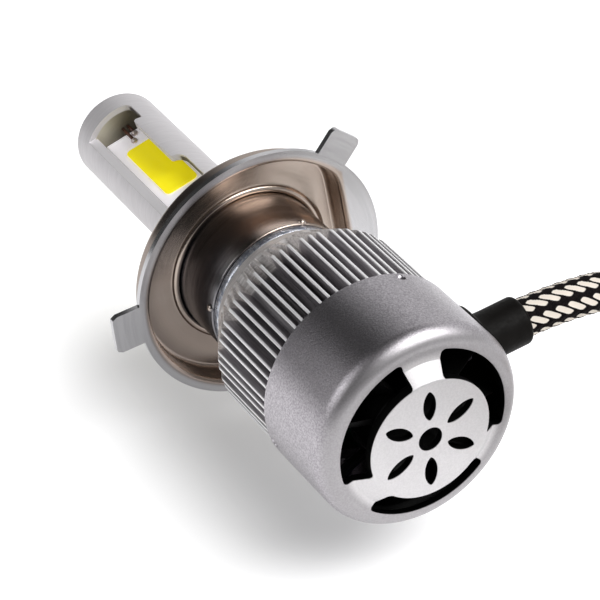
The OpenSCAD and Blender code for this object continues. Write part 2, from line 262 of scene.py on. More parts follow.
def fin_aluminium():
    """Extruded aluminium: crests painted pale as painted highlight over grooves painted dark as painted
    shade, with streaks, and a milled cone at the front.
    """
    p = Paint("fin_aluminium", (0.72, 0.71, 0.72), 0.3, 0.7)
    x, y, z = p.split(p.place())
    radius = p.distance(x, z)
    streaks = p.noise(3.0, 3.0, 0.6, stretch=(1, 0.05, 1))
    milled = p.turned(2.4, 3.0, 2.0)
    # Painted highlight on the fin crests and painted shade in the grooves, both over the streaks.
    crest = p.mix(p.ramp(streaks, 0.3, 0.7), (0.82, 0.81, 0.82), (0.93, 0.92, 0.93))
    shaded_groove = p.mix(p.ramp(streaks, 0.3, 0.7), (0.27, 0.255, 0.27), (0.44, 0.42, 0.44))
    top = p.ramp(radius, FIN_R - 0.3, FIN_R - 0.04)
    cone = p.ramp(y, SINK_FRONT - CONE_L - 0.2, SINK_FRONT - CONE_L + 0.6)
    front = p.mix(p.ramp(milled, 0.3, 0.7), (0.58, 0.555, 0.55), (0.93, 0.90, 0.89))
    shine = p.math("SUBTRACT", p.ramp(top, 0.0, 1.0, 0.7, 0.3), p.math("MULTIPLY", cone, 0.25))
    p.drive("Base Color", p.mix(cone, p.mix(top, shaded_groove, crest), front))
    p.drive("Metallic", shine)
    p.drive("Roughness", p.ramp(streaks, 0.25, 0.75, 0.32, 0.48))
    p.bump(streaks, 0.02, 0.4)
    return p.material


def collar_steel():
    """Pressed stainless steel: grey on the flange, with a brownish painted reflection in the dish and on the
    neck, darkened on their left by painted dark reflections.
    """
    p = Paint("collar_steel", (0.45, 0.41, 0.38), 0.16, 1.0)
    x, _, z = p.split(p.place())
    radius = p.distance(x, z)
    lean = math.radians(DISH_FLAT_AT)
    to_flat = p.math("MULTIPLY", z, math.cos(lean) / DISH_FLAT)
    to_flat = p.math("MULTIPLY_ADD", x, math.sin(lean) / DISH_FLAT, to_flat)
    outside = p.math("MAXIMUM", p.math("DIVIDE", radius, DISH_R), to_flat)
    rubs = p.turned(1.8, 3.0, 0.8)
    broad = p.noise(0.16, 2.0)
    # Painted reflection: a brownish cast over the dish and the neck, over real rubs and a broad random tone.
    dish_rubs_and_painted_light = p.mix(p.ramp(rubs, 0.3, 0.7), (0.45, 0.38, 0.33), (0.475, 0.405, 0.355))
    dish_rubs_and_painted_light = p.mix(p.ramp(broad, 0.35, 0.7, 0.0, 0.4), dish_rubs_and_painted_light, (0.37, 0.30, 0.26))
    # Painted dark reflection on the neck's left side.
    neck = p.math("MULTIPLY", p.ramp(radius, SLEEVE_R + 0.5, SLEEVE_R + 0.1), p.ramp(x, -2.0, -11.0))
    dish_rubs_and_painted_light = p.mix(neck, dish_rubs_and_painted_light, (0.20, 0.195, 0.205))
    # Painted dark reflection over the outer part of the dish, on its left.
    edge = p.math("MULTIPLY", p.ramp(radius, 15.8, 18.8), p.ramp(x, 6.0, -7.0, 0.0, 0.75))
    dish_rubs_and_painted_light = p.mix(edge, dish_rubs_and_painted_light, (0.22, 0.18, 0.16))
    cool = p.mix(p.ramp(rubs, 0.3, 0.7), (0.51, 0.505, 0.52), (0.57, 0.565, 0.58))
    p.drive("Base Color", p.mix(p.ramp(outside, 1.035, 1.075), dish_rubs_and_painted_light, cool))
    p.drive("Roughness", p.ramp(rubs, 0.3, 0.7, 0.22, 0.27))
    p.bump(rubs, 0.002, 0.3)
    return p.material


def post_aluminium():
    """Satin aluminium of the light post, with window edges painted pale as painted light and dark as painted
    shade, and an olive end wall inside the windows in painted shade.
    """
    p = Paint("post_aluminium", (0.60, 0.585, 0.60), 0.55, 0.4)
    x, y, z = p.split(p.place())
    radius = p.distance(x, z)
    lines = p.turned(2.2, 4.0, 0.6)
    broad = p.noise(0.2, 2.0)
    tone = p.mix(p.ramp(lines, 0.3, 0.7), (0.62, 0.60, 0.615), (0.66, 0.64, 0.655))
    tone = p.mix(p.ramp(broad, 0.35, 0.7, 0.0, 0.25), tone, (0.57, 0.55, 0.565))
    at_end = p.ramp(p.math("ABSOLUTE", p.math("SUBTRACT", y, WINDOW_END)), 0.35, 0.25)
    inside = p.math("MULTIPLY", at_end, p.ramp(radius, POST_R - 0.95, POST_R - POST_WALL))
    turn = math.radians(BOARD_AT)
    across = p.math("MULTIPLY_ADD", x, math.cos(turn), p.math("MULTIPLY", z, -math.sin(turn)))
    # Painted shade: the end wall inside the windows goes from pale olive on its left to dark on its right.
    olive = p.mix(p.ramp(across, -5.5, 1.8), (0.62, 0.585, 0.48), (0.18, 0.16, 0.115))
    # The windows' cut edges are painted dark to the right of a board as painted shade, and pale to its left
    # as painted light.
    wall = p.math("MULTIPLY", p.ramp(across, 2.3, 2.6), p.ramp(radius, POST_R - 0.25, POST_R - 0.45))
    tone = p.mix(wall, tone, (0.12, 0.11, 0.105))
    # Painted light: the cut face at the window floor's height, left of a board, is painted pale.
    height = p.math("MULTIPLY_ADD", x, math.sin(turn), p.math("MULTIPLY", z, math.cos(turn)))
    flat = p.math("ABSOLUTE", p.math("SUBTRACT", p.math("ABSOLUTE", height), WINDOW_FLOOR))
    flat = p.ramp(flat, 0.15, 0.08)
    flat = p.math("MULTIPLY", flat, p.ramp(across, -4.2, -4.5))
    flat = p.math("MULTIPLY", flat, p.ramp(radius, POST_R - 0.02, POST_R - 0.08))
    tone = p.mix(flat, tone, (0.86, 0.84, 0.86))
    p.drive("Base Color", p.mix(inside, tone, olive))
    p.drive("Roughness", p.ramp(lines, 0.3, 0.7, 0.62, 0.5))
    p.bump(lines, 0.006, 0.4)
    return p.material


def turned_aluminium(name, colour):
    """Bright lathe-turned aluminium."""
    p = Paint(name, colour, 0.24, 1.0)
    lines = p.turned(5.0, 4.0, 0.3)
    dark = tuple(0.8 * c for c in colour)
    p.drive("Base Color", p.mix(p.ramp(lines, 0.3, 0.7), dark, colour))
    p.drive("Roughness", p.ramp(lines, 0.3, 0.7, 0.34, 0.18))
    p.bump(lines, 0.02, 0.5)
    return p.material


def ring_aluminium():
    """Lock ring: bluish turned aluminium, mottled where it was pressed on."""
    p = Paint("ring_aluminium", (0.5, 0.53, 0.6), 0.3, 0.85)
    patch = p.noise(0.9, 3.0, 0.6)
    fine = p.noise(3.0, 2.0)
    tone = p.mix(p.ramp(patch, 0.4, 0.62), (0.20, 0.22, 0.27), (0.62, 0.65, 0.72))
    p.drive("Base Color", p.mix(p.ramp(fine, 0.5, 0.75, 0.0, 0.5), tone, (0.72, 0.68, 0.62)))
    p.drive("Roughness", p.ramp(patch, 0.35, 0.7, 0.42, 0.24))
    p.bump(patch, 0.12, 0.6)
    return p.material


def board_mask():
    """White solder mask on the light boards, slightly mottled, with a faint painted glow."""
    p = Paint("board_mask", (0.86, 0.83, 0.88), 0.3, 0.0)
    spots = p.noise(1.4, 3.0)
    p.drive("Base Color", p.mix(p.ramp(spots, 0.3, 0.75), (0.97, 0.945, 0.98), (0.94, 0.91, 0.95)))
    p.drive("Roughness", p.ramp(spots, 0.3, 0.7, 0.3, 0.42))
    # Painted light: a faint glow brightens the board.
    p.set("Emission Color", (1.0, 0.97, 1.0))
    p.set("Emission Strength", 0.28)
    p.bump(p.noise(6.0, 2.0), 0.006, 0.4)
    return p.material


def phosphor_silicone():
    """Yellow phosphor silicone over the light chips, with a faint painted glow."""
    p = Paint("phosphor_silicone", (0.95, 0.84, 0.012), 0.45, 0.0)
    # Painted light: a faint glow brightens the phosphor, whose chips are not lit.
    p.set("Emission Color", (1.0, 0.85, 0.01))
    p.set("Emission Strength", 0.38)
    p.set("Subsurface Weight", 0.15)
    p.set("Subsurface Radius", (0.001, 0.0008, 0.0001))
    p.set("Subsurface Scale", 0.4)
    cloud = p.noise(0.9, 3.0)
    speck = p.noise(7.0, 1.0)
    tone = p.mix(p.ramp(cloud, 0.3, 0.75), (0.97, 0.86, 0.012), (0.90, 0.78, 0.008))
    p.drive("Base Color", p.mix(p.ramp(speck, 0.6, 0.75, 0.0, 0.25), tone, (0.98, 0.92, 0.08)))
    p.drive("Roughness", p.ramp(cloud, 0.3, 0.7, 0.4, 0.55))
    p.bump(speck, 0.01, 0.5)
    return p.material


def moulded(name, colour, roughness, grain=3.0, depth=0.03, specular=0.5):
    """Moulded rubber or plastic with a fine grain and a little unevenness."""
    p = Paint(name, colour, roughness, 0.0, Specular_IOR_Level=specular)
    fine = p.noise(grain, 3.0, 0.6)
    broad = p.noise(0.35, 2.0)
    light = tuple(min(1, 1.5 * c + 0.002) for c in colour)
    p.drive("Base Color", p.mix(p.ramp(broad, 0.35, 0.75, 0.0, 0.8), colour, light))
    p.drive("Roughness", p.ramp(fine, 0.3, 0.7, roughness - 0.06, roughness + 0.1))
    p.bump(fine, depth, 0.5)
    return p.material


def plain_metal(name, colour, roughness, metallic=1.0):
    """Metal of a small piece, with a fine worn surface."""
    p = Paint(name, colour, roughness, metallic)
    fine = p.noise(4.0, 3.0, 0.6)
    dark = tuple(0.78 * c for c in colour)
    p.drive("Base Color", p.mix(p.ramp(fine, 0.3, 0.7), dark, colour))
    p.drive("Roughness", p.ramp(fine, 0.3, 0.7, roughness - 0.05, roughness + 0.1))
    p.bump(fine, 0.012, 0.5)
    return p.material


# The braid: seven rows of slanted cream floats in a black net. The pattern is drawn on the lead's own
# map in millimetres, u along it and v round it; braid_cloth and braid_height both follow it.
BRAID_ROWS = 7
BRAID_ROW = 2 * math.pi * CORD_R / BRAID_ROWS
BRAID_PITCH = 2.23
BRAID_SLOPE = 1 / math.tan(math.radians(34))
BRAID_STEP = -2 / BRAID_ROWS
FLOAT_HALF_W = 0.84
FLOAT_HALF_L = 0.88
FLOAT_END = 0.337


def braid_cloth():
    """Black net over cream floats, each drawn as fine threads."""
    p = Paint("braid_cloth", (0.02, 0.018, 0.018), 0.6, 0.0, Specular_IOR_Level=0.03)
    u, v, _ = p.split(p.node("UVMap", uv_map="braid").outputs[0])
    row = p.math("ROUND", p.math("DIVIDE", v, BRAID_ROW))
    across = p.math("SUBTRACT", v, p.math("MULTIPLY", row, BRAID_ROW))
    slid = p.math("MULTIPLY_ADD", across, BRAID_SLOPE, u)
    slid = p.math("MULTIPLY_ADD", row, BRAID_STEP * BRAID_PITCH, slid)
    along = p.math("WRAP", slid, BRAID_PITCH / 2, -BRAID_PITCH / 2)
    end = p.math("MULTIPLY_ADD", along, -FLOAT_END, across)
    a = p.math("POWER", p.math("ABSOLUTE", p.math("DIVIDE", along, FLOAT_HALF_W)), 4.0)
    b = p.math("POWER", p.math("ABSOLUTE", p.math("DIVIDE", end, FLOAT_HALF_L)), 4.0)
    cream = p.ramp(p.math("ADD", a, b), 1.18, 0.82)
    threads = p.math("SINE", p.math("MULTIPLY", along, 26.0))
    net = p.math("SINE", p.math("MULTIPLY", p.math("MULTIPLY_ADD", v, -BRAID_SLOPE, u), 14.0))
    fibre = p.noise(4.0, 3.0)
    cream_tone = p.mix(p.ramp(threads, -1.0, 1.0, 0.0, 0.35), (0.93, 0.86, 0.77), (0.74, 0.65, 0.55))
    black_tone = p.mix(p.ramp(fibre, 0.35, 0.8), (0.004, 0.0035, 0.004), (0.016, 0.012, 0.012))
    p.drive("Base Color", p.mix(cream, black_tone, cream_tone))
    p.drive("Roughness", p.ramp(fibre, 0.3, 0.7, 0.5, 0.7))
    p.bump(p.mix(cream, net, threads), 0.03, 0.6)
    return p.material


# ---------------------------------------------------------------- mesh helpers

def clock_point(radius, clock, y):
    """Point at a radius and a clock angle about the lamp axis, in metres."""
    a = math.radians(clock)
    return Vector((radius * math.sin(a), y, radius * math.cos(a))) * MM


def new_mesh_object(name, verts, faces):
    """Object with a mesh of points in metres, smooth and with its faces turned outwards."""
    mesh = bpy.data.meshes.new(name)
    mesh.from_pydata([tuple(v) for v in verts], [], faces)
    piece = bpy.data.objects.new(name, mesh)
    bpy.context.scene.collection.objects.link(piece)
    work = bmesh.new()
    work.from_mesh(mesh)
    bmesh.ops.recalc_face_normals(work, faces=work.faces)
    work.to_mesh(mesh)
    work.free()
    mesh.shade_smooth()
    return piece


def ring_faces(rows, columns, capped=False):
    """Quads between rows of points that each go right round.

    The last row joins the first one again or, if capped, one face closes each end.
    """
    faces = []
    for i in range(rows - capped):
        a, b = i * columns, (i + 1) % rows * columns
        for k in range(columns):
            n = (k + 1) % columns
            faces.append((a + k, a + n, b + n, b + k))
    if capped:
        last = (rows - 1) * columns
        faces += [tuple(range(columns)), tuple(range(last, last + columns))[::-1]]
    return faces


def revolved(name, profile, columns, capped=False):
    """Solid of revolution about the lamp axis from (radius, y) points, closed or capped as in ring_faces."""
    verts = [clock_point(radius, 360 * k / columns, y) for radius, y in profile for k in range(columns)]
    return new_mesh_object(name, verts, ring_faces(len(profile), columns, capped))


def rounded(corners, steps):
    """Outline through corners (x, y, radius), with an arc of that radius at each; the ends stay sharp."""
    points = [Vector(corners[0][:2])]
    for before, corner, after in zip(corners, corners[1:], corners[2:]):
        p = Vector(corner[:2])
        a = (Vector(before[:2]) - p).normalized()
        b = (Vector(after[:2]) - p).normalized()
        radius = corner[2]
        half = a.angle(b) / 2
        if radius <= 0 or half > math.pi / 2 - 1e-3:
            points.append(p)
            continue
        reach = radius / math.tan(half)
        centre = p + (a + b).normalized() * (radius / math.sin(half))
        start, end = p + a * reach - centre, p + b * reach - centre
        turn = start.angle_signed(end)
        for i in range(steps + 1):
            c, s = math.cos(-turn * i / steps), math.sin(-turn * i / steps)
            points.append(centre + Vector((c * start.x - s * start.y, s * start.x + c * start.y)))
    points.append(Vector(corners[-1][:2]))
    return [tuple(p) for p in points]


def finish_piece(piece, material, body, slot, *stands_for, smooth=0):
    """Gives a piece its material and body; slot is not used. Edges sharper than smooth degrees stay crisp, if
    given.
    """
    piece.data.materials.clear()
    piece.data.materials.append(material)
    if smooth:
        piece.data.set_sharp_from_angle(angle=math.radians(smooth))
    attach(piece, body)
    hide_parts(*stands_for)
    return piece


def add_bevel(piece, width, segments, angle=32):
    """Rounds edges sharper than angle degrees by width millimetres."""
    bevel = piece.modifiers.new("bevel", "BEVEL")
    bevel.width = width * MM
    bevel.segments = segments
    bevel.limit_method = "ANGLE"
    bevel.angle_limit = math.radians(angle)
    bevel.harden_normals = True
    bevel.miter_outer = "MITER_ARC"


def apply_modifiers(piece):
    """Keeps the piece's shape as its modifiers leave it."""
    view = piece.evaluated_get(bpy.context.evaluated_depsgraph_get())
    mesh = bpy.data.meshes.new_from_object(view)
    piece.modifiers.clear()
    piece.data = mesh


def dress(node, material, bevel=0.0, segments=2):
    """Gives a CAD node its material, and rounds its edges by bevel millimetres."""
    piece = NODES[node]
    piece.data.materials.clear()
    piece.data.materials.append(material)
    piece.data.shade_smooth()
    weld = piece.modifiers.new("weld", "WELD")
    weld.merge_threshold = 0.001 * MM
    flat = piece.modifiers.new("flat", "DECIMATE")
    flat.decimate_type = "DISSOLVE"
    flat.angle_limit = math.radians(0.5)
    if bevel:
        add_bevel(piece, bevel, segments)


# ---------------------------------------------------------------- the braided lead

# Points on the lead's centre line, from inside the gland to the coil and from the coil to the plug.
LEAD = [(22.8, -35.6, 3.6), (25, -35.6, 3.95), (29, -35.6, 4.3), (34, -35.6, 4.4), (39, -35.6, 4.1),
        (44, -35.8, 3), (49, -36.4, 1), (54, -37.5, -1.9), (59, -39.2, -5.3), (64, -41.5, -8.6),
        (69, -44.3, -11.4), (74, -47.5, -13.5), (79, -51, -14.7), (83.7, -54.4, -15.2)]
TAIL = [(62, -110.1, -21.45), (57, -110.2, -21.4), (52, -110.2, -21.1), (47.5, -110.1, -20.2),
        (43.5, -110, -19.2), (39, -110, -18.75)]
# The coil runs clockwise, seen from above; its angles are in degrees.
COIL_START = 50
COIL_SWEEP = 492
COIL_STEP = 12
COIL_DROP = (180, 270)
# The tube that carries the braid: points round it, how far round its first one is, and how far its
# ground lies under CORD_R.
BRAID_COLUMNS = 84
BRAID_TURN = 0.39
BRAID_SINK = 0.2


def lead_route():
    """The lead's centre line: out of the gland, round the coil's upper layer, then its lower one."""
    coil = []
    for swept in range(COIL_STEP, COIL_SWEEP + 1, COIL_STEP):
        angle = math.radians(COIL_START - swept)
        down = min(1, max(0, (swept - COIL_DROP[0]) / (COIL_DROP[1] - COIL_DROP[0])))
        x = COIL_CENTRE[0] + COIL_R * math.cos(angle)
        y = COIL_CENTRE[1] + COIL_R * math.sin(angle)
        coil.append((x, y, COIL_Z + 2 * CORD_R * (1 - down * down * (3 - 2 * down))))
    return np.array(LEAD + coil + TAIL)


def smooth_path(points, step):
    """Catmull-Rom curve through points, cut into equal steps."""
    q = np.vstack([2 * points[0] - points[1], points, 2 * points[-1] - points[-2]])
    t = np.linspace(0, 1, 24, endpoint=False)[:, None]
    runs = []
    for a, b, c, d in zip(q, q[1:], q[2:], q[3:]):
        square, cube = 2 * a - 5 * b + 4 * c - d, 3 * b - a - 3 * c + d
        runs.append(0.5 * (2 * b + (c - a) * t + square * t**2 + cube * t**3))
    curve = np.vstack([*runs, points[-1:]])
    gone = np.r_[0, np.cumsum(np.linalg.norm(np.diff(curve, axis=0), axis=1))]
    at = np.linspace(0, gone[-1], round(gone[-1] / step) + 1)
    return np.stack([np.interp(at, gone, curve[:, i]) for i in range(3)], axis=1), gone[-1]


def carried_frames(path):
    """Two unit vectors across the path at each point, turned as little as possible from one to the next."""
    tangents = np.gradient(path, axis=0)
    tangents /= np.linalg.norm(tangents, axis=1)[:, None]
    up = np.array((0.0, 0.0, 1.0))
    sides, ups = [], []
    for t in tangents:
        up = up - (up @ t) * t
        up /= np.linalg.norm(up)
        sides.append(np.cross(t, up))
        ups.append(up)
    return np.array(sides), np.array(ups)


def braid_height(u, v):
    """Height of the braid over its ground, where the black net stands proud of the cream floats."""
    row = np.round(v / BRAID_ROW)
    across = v - row * BRAID_ROW
    slid = row * BRAID_STEP * BRAID_PITCH + across * BRAID_SLOPE + u
    along = (slid + BRAID_PITCH / 2) % BRAID_PITCH - BRAID_PITCH / 2
    end = across - FLOAT_END * along
    shape = (np.abs(along) / FLOAT_HALF_W) ** 4 + (np.abs(end) / FLOAT_HALF_L) ** 4
    black = np.clip((shape - 0.7) / 0.9, 0, 1)
    crossing = np.cos(2 * math.pi * (u - v * BRAID_SLOPE) / BRAID_PITCH)
    crown = 0.05 * (1 - np.clip(np.abs(along) / FLOAT_HALF_W, 0, 1) ** 2)
    return np.where(black > 0, black * (0.14 + 0.06 * crossing), crown)


def write_braid_map(piece, u):
    """Writes the map that braid_cloth follows, for a tube with BRAID_COLUMNS points at each length u."""
    mesh = piece.data
    loops = np.zeros(len(mesh.loops), np.int64)
    mesh.loops.foreach_get("vertex_index", loops)
    ring, column = loops // BRAID_COLUMNS, loops % BRAID_COLUMNS
    totals = np.zeros(len(mesh.polygons), np.int64)
    mesh.polygons.foreach_get("loop_total", totals)
    owner = np.repeat(np.arange(len(totals)), totals)
    # A face that crosses the seam takes column 0 as one full turn.
    seam = np.zeros(len(totals), bool)
    np.logical_or.at(seam, owner, column == BRAID_COLUMNS - 1)
    wraps = seam[owner] & (column == 0) & (totals[owner] == 4)
    v = (column + wraps * BRAID_COLUMNS) * 2 * math.pi / BRAID_COLUMNS * CORD_R
    uv = np.stack([u[ring], v], axis=1)
    mesh.uv_layers.new(name="braid").data.foreach_set("uv", uv.astype(np.float32).ravel())


def braided_lead(pieces):
    """The lead as one tube in the braid's relief; pieces, the separate ones that sit on it, are not used."""
    path, length = smooth_path(lead_route(), 0.3)
    sides, ups = carried_frames(path)
    u = np.linspace(0, length, len(path))
    angle = np.arange(BRAID_COLUMNS)[None, :] * 2 * math.pi / BRAID_COLUMNS
    radius = CORD_R - BRAID_SINK + braid_height(u[:, None], angle * CORD_R)
    shown = BRAID_TURN - angle
    points = (path[:, None, :]
              + (radius * np.cos(shown))[..., None] * ups[:, None, :]
              + (radius * np.sin(shown))[..., None] * sides[:, None, :])
    faces = ring_faces(len(path), BRAID_COLUMNS, capped=True)
    piece = new_mesh_object("braided_lead", points.reshape(-1, 3) * MM, faces)
    write_braid_map(piece, u)
    finish_piece(piece, braid_cloth(), "lamp", "braid", "cord_lead", "cord_coil", "cord_tail")


def tie_point(out, across, up):
    """Point beside the coil's middle line where the tie is: out from the coil's centre, along it, and up."""
    a = math.radians(TIE_TURN)
    radius = COIL_R + out
    return Vector((COIL_CENTRE[0] + radius * math.cos(a) - across * math.sin(a),
                   COIL_CENTRE[1] + radius * math.sin(a) + across * math.cos(a), COIL_Z + CORD_R + up)) * MM


def tie_strap():
    """Ribbed nylon strap round both layers of the coil, with its locking head and tail on the inside."""
    half, thick = TIE_W / 2 - 0.4, 0.5
    loop = []
    for centre, start in ((CORD_R, 0), (-CORD_R, 180)):
        loop += [(centre, math.radians(start + 180 * k / 24)) for k in range(25)]
    verts = []
    for i, (centre, a) in enumerate(loop):
        crest = thick - 0.07 * (i % 2)
        for across, over in ((-half, 0.02), (-half, thick - 0.12), (-half + 0.5, thick), (-half + 0.7, crest),
                             (half - 0.7, crest), (half - 0.5, thick), (half, thick - 0.12), (half, 0.02)):
            radius = CORD_R + over
            verts.append(tie_point(radius * math.cos(a), across, centre + radius * math.sin(a)))
    faces = ring_faces(len(loop), 8)
    head = ((-CORD_R - 2.3, -CORD_R - 0.1), (-half - 0.35, half + 0.35), (-2.4, 2.4))
    tail = ((-CORD_R - 1.5, -CORD_R - 0.95), (-half + 0.3, half - 0.3), (2.4, 5.2))
    for xs, ys, zs in (head, tail):
        base = len(verts)
        verts += [tie_point(x, y, z) for x in xs for y in ys for z in zs]
        faces += [tuple(base + k for k in face) for face in
                  ((0, 1, 3, 2), (4, 6, 7, 5), (0, 4, 5, 1), (2, 3, 7, 6), (0, 2, 6, 4), (1, 5, 7, 3))]
    piece = new_mesh_object("tie_strap", verts, faces)
    add_bevel(piece, 0.15, 2, 40)
    nylon = moulded("tie_plastic", (0.018, 0.018, 0.019), 0.4)
    return finish_piece(piece, nylon, "lamp", "tie_plastic", "coil_tie")


def bend_relief():
    """Ribbed rubber sleeve between the lead and the plug."""
    profile = [(0.6, 0.9), (CORD_R + 0.05, 0.9), (CORD_R + 0.05, 0), (CORD_R + 0.6, 0), (CORD_R + 0.9, 0.3)]
    for k in range(RELIEF_RIBS):
        x = 1.1 + 1.9 * k
        skin = CORD_R + 1.0 + 1.1 * x / RELIEF_L
        profile += [(skin, x - 0.1), (skin + 0.04, x + 0.05), (skin - 0.7, x + 0.3), (skin - 0.75, x + 0.9),
                    (skin + 0.15, x + 1.15), (skin + 0.2, x + 1.3)]
    profile += [(CORD_R + 2.2, RELIEF_L), (0.6, RELIEF_L)]
    columns = 56
    verts = [Vector((PLUG_AT[0] - x, PLUG_AT[1] + r * math.cos(2 * math.pi * k / columns),
                     PLUG_AT[2] + r * math.sin(2 * math.pi * k / columns))) * MM
             for r, x in profile for k in range(columns)]
    piece = new_mesh_object("bend_relief", verts, ring_faces(len(profile), columns))
    add_bevel(piece, 0.1, 2, 40)
    rubber = moulded("relief_rubber", (0.016, 0.016, 0.016), 0.5)
    return finish_piece(piece, rubber, "lamp", "relief_rubber", "plug_relief")


braided_lead([tie_strap(), bend_relief()])


# ---------------------------------------------------------------- floor and light, in metres

FLOOR_HALF = 3.0
LIT_POINT = Vector((0, -0.02, 0))


def floor_paint():
    """White paper that glows, less so close under the lamp, as a pale painted shadow that is deepest there.
    """
    p = Paint("floor_paint", (0.50, 0.50, 0.505), 0.6)
    # The painted shadow is deepest along a line under the lamp: its x, the y of its middle, and its half
    # length.
    line_x, line_y, half = -5.0, -6.0, 24.0
    x, y, _ = p.split(p.place())
    beyond = p.math("SUBTRACT", p.math("ABSOLUTE", p.math("SUBTRACT", y, line_y)), half)
    shadow_line_distance = p.distance(p.math("SUBTRACT", x, line_x), p.math("MAXIMUM", beyond, 0.0))
    p.set("Emission Color", (1.0, 1.0, 1.0))
    p.drive("Emission Strength", p.ramp(shadow_line_distance, 3.0, 26.0, 0.3, 0.83))
    p.drive("Base Color", p.mix(p.noise(0.02, 2.0), (0.50, 0.50, 0.505), (0.485, 0.485, 0.49)))
    return p.material


def floor():
    corners = [(x * FLOOR_HALF, y * FLOOR_HALF, FLOOR_Z * MM)
               for x, y in ((-1, -1), (1, -1), (1, 1), (-1, 1))]
    piece = new_mesh_object("floor", corners, [(0, 1, 2, 3)])
    piece.data.materials.append(floor_paint())


def softbox(name, location, width, height, power):
    """Rectangular light that faces LIT_POINT."""
    data = bpy.data.lights.new(name, "AREA")
    data.shape = "RECTANGLE"
    data.size, data.size_y = width, height
    data.energy = power
    lamp = bpy.data.objects.new(name, data)
    lamp.location = location
    lamp.rotation_mode = "QUATERNION"
    lamp.rotation_quaternion = (LIT_POINT - Vector(location)).to_track_quat("-Z", "Y")
    bpy.context.scene.collection.objects.link(lamp)


def studio():
    """Dark room with a pale wall towards +X, which the metal mirrors, and two softboxes."""
    world = bpy.data.worlds.new("studio")
    bpy.context.scene.world = world
    world.use_nodes = True
    nodes, links = world.node_tree.nodes, world.node_tree.links
    split = nodes.new("ShaderNodeSeparateXYZ")
    links.new(nodes.new("ShaderNodeTexCoord").outputs["Generated"], split.inputs[0])

    def step(axis, start, end, low, high):
        made = nodes.new("ShaderNodeMapRange")
        made.interpolation_type = "SMOOTHSTEP"
        links.new(split.outputs[axis], made.inputs["Value"])
        for socket, number in (("From Min", start), ("From Max", end), ("To Min", low), ("To Max", high)):
            made.inputs[socket].default_value = number
        return made.outputs[0]

    def times(a, b):
        made = nodes.new("ShaderNodeMath")
        made.operation = "MULTIPLY"
        links.new(a, made.inputs[0])
        links.new(b, made.inputs[1])
        return made.outputs[0]

    sideways = times(step("X", -0.08, 0.36, 0.05, 1.0), step("Y", -0.5, 0.3, 0.3, 1))
    upwards = times(step("Z", 0.1, 0.5, 0.66, 1), step("Z", 0.58, 0.78, 1, 0.08))
    background = nodes["Background"]
    background.inputs["Color"].default_value = (1, 1, 1, 1)
    links.new(times(sideways, upwards), background.inputs["Strength"])
    softbox("key", (0.34, -0.44, 0.64), 0.66, 0.58, 7.6)
    softbox("left", (-0.75, 0.10, 0.45), 0.6, 0.45, 2.0)
    bpy.context.scene.view_settings.view_transform = "Standard"


floor()
studio()


# ---------------------------------------------------------------- fan housing

def polar(radius, clock):
    """Point at a clock angle, as (x, z)."""
    a = math.radians(clock)
    return Vector((radius * math.sin(a), radius * math.cos(a)))


def slot_outline(first, last, inner, outer, corner):
    """Slot between two clock angles with round corners, as (x, z) points."""
    outer_turn = math.degrees(math.asin(corner / (outer - corner)))
    inner_turn = math.degrees(math.asin(corner / (inner + corner)))
    span = last - first
    steps = 48

    def arc(radius, start, sweep):
        return [polar(radius, start + sweep * i / steps) for i in range(steps + 1)]

    def bend(radius, clock, start, end):
        """Quarter circle about a point, from one direction to another."""
        quarter = [k / 6 * math.pi / 2 for k in range(7)]
        return [polar(radius, clock) + (start * math.cos(f) + end * math.sin(f)) * corner for f in quarter]

    before, after = polar(1, first - 90), polar(1, last + 90)
    return [*arc(outer, first + outer_turn, span - 2 * outer_turn),
            *bend(outer - corner, last - outer_turn, polar(1, last - outer_turn), after),
            *bend(inner + corner, last - inner_turn, after, -polar(1, last - inner_turn)),
            *arc(inner, last - inner_turn, 2 * inner_turn - span),
            *bend(inner + corner, first + inner_turn, -polar(1, first + inner_turn), before),
            *bend(outer - corner, first + outer_turn, before, polar(1, first + outer_turn))]


def petal_outline(clock, inner, outer, width):
    """Leaf with blunt ends along a clock angle, as (x, z) points."""
    along = polar(1, clock)
    across = Vector((along.y, -along.x))
    points = []
    for k in range(32):
        f = 2 * math.pi * k / 32
        bulge = math.copysign(abs(math.sin(f)) ** 1.35, math.sin(f))
        reach = (inner + outer) / 2 - (outer - inner) / 2 * math.cos(f)
        points.append(along * reach + across * bulge * width / 2)
    return points


def cutter_between(low, high):
    """Closed cutter between two outlines with the same number of points."""
    return new_mesh_object("cutter", [*low, *high], ring_faces(2, len(low), capped=True))


def grille_cutter(outline):
    """Cutter through the housing's rear wall and grille over an outline of (x, z) points."""
    rear, ahead = ([Vector((x, y, z)) * MM for x, z in outline] for y in (CUP_REAR - 6, CUP_REAR + 5))
    return cutter_between(rear, ahead)


def add_ball(work, centre, radius):
    """Adds a ball to a bmesh at a centre in metres."""
    ball = bmesh.ops.create_uvsphere(work, u_segments=24, v_segments=16, radius=radius * MM)
    bmesh.ops.translate(work, verts=ball["verts"], vec=centre)


def ball_cutter(centre, radius):
    mesh = bpy.data.meshes.new("cutter")
    work = bmesh.new()
    add_ball(work, centre, radius)
    work.to_mesh(mesh)
    work.free()
    piece = bpy.data.objects.new("cutter", mesh)
    bpy.context.scene.collection.objects.link(piece)
    return piece


def cut(piece, cutters):
    """Takes the cutters' shapes out of a piece, and removes them."""
    for cutter in cutters:
        boolean = piece.modifiers.new("cut", "BOOLEAN")
        boolean.operation = "DIFFERENCE"
        boolean.solver = "EXACT"
        boolean.object = cutter
    apply_modifiers(piece)
    for cutter in cutters:
        bpy.data.objects.remove(cutter)


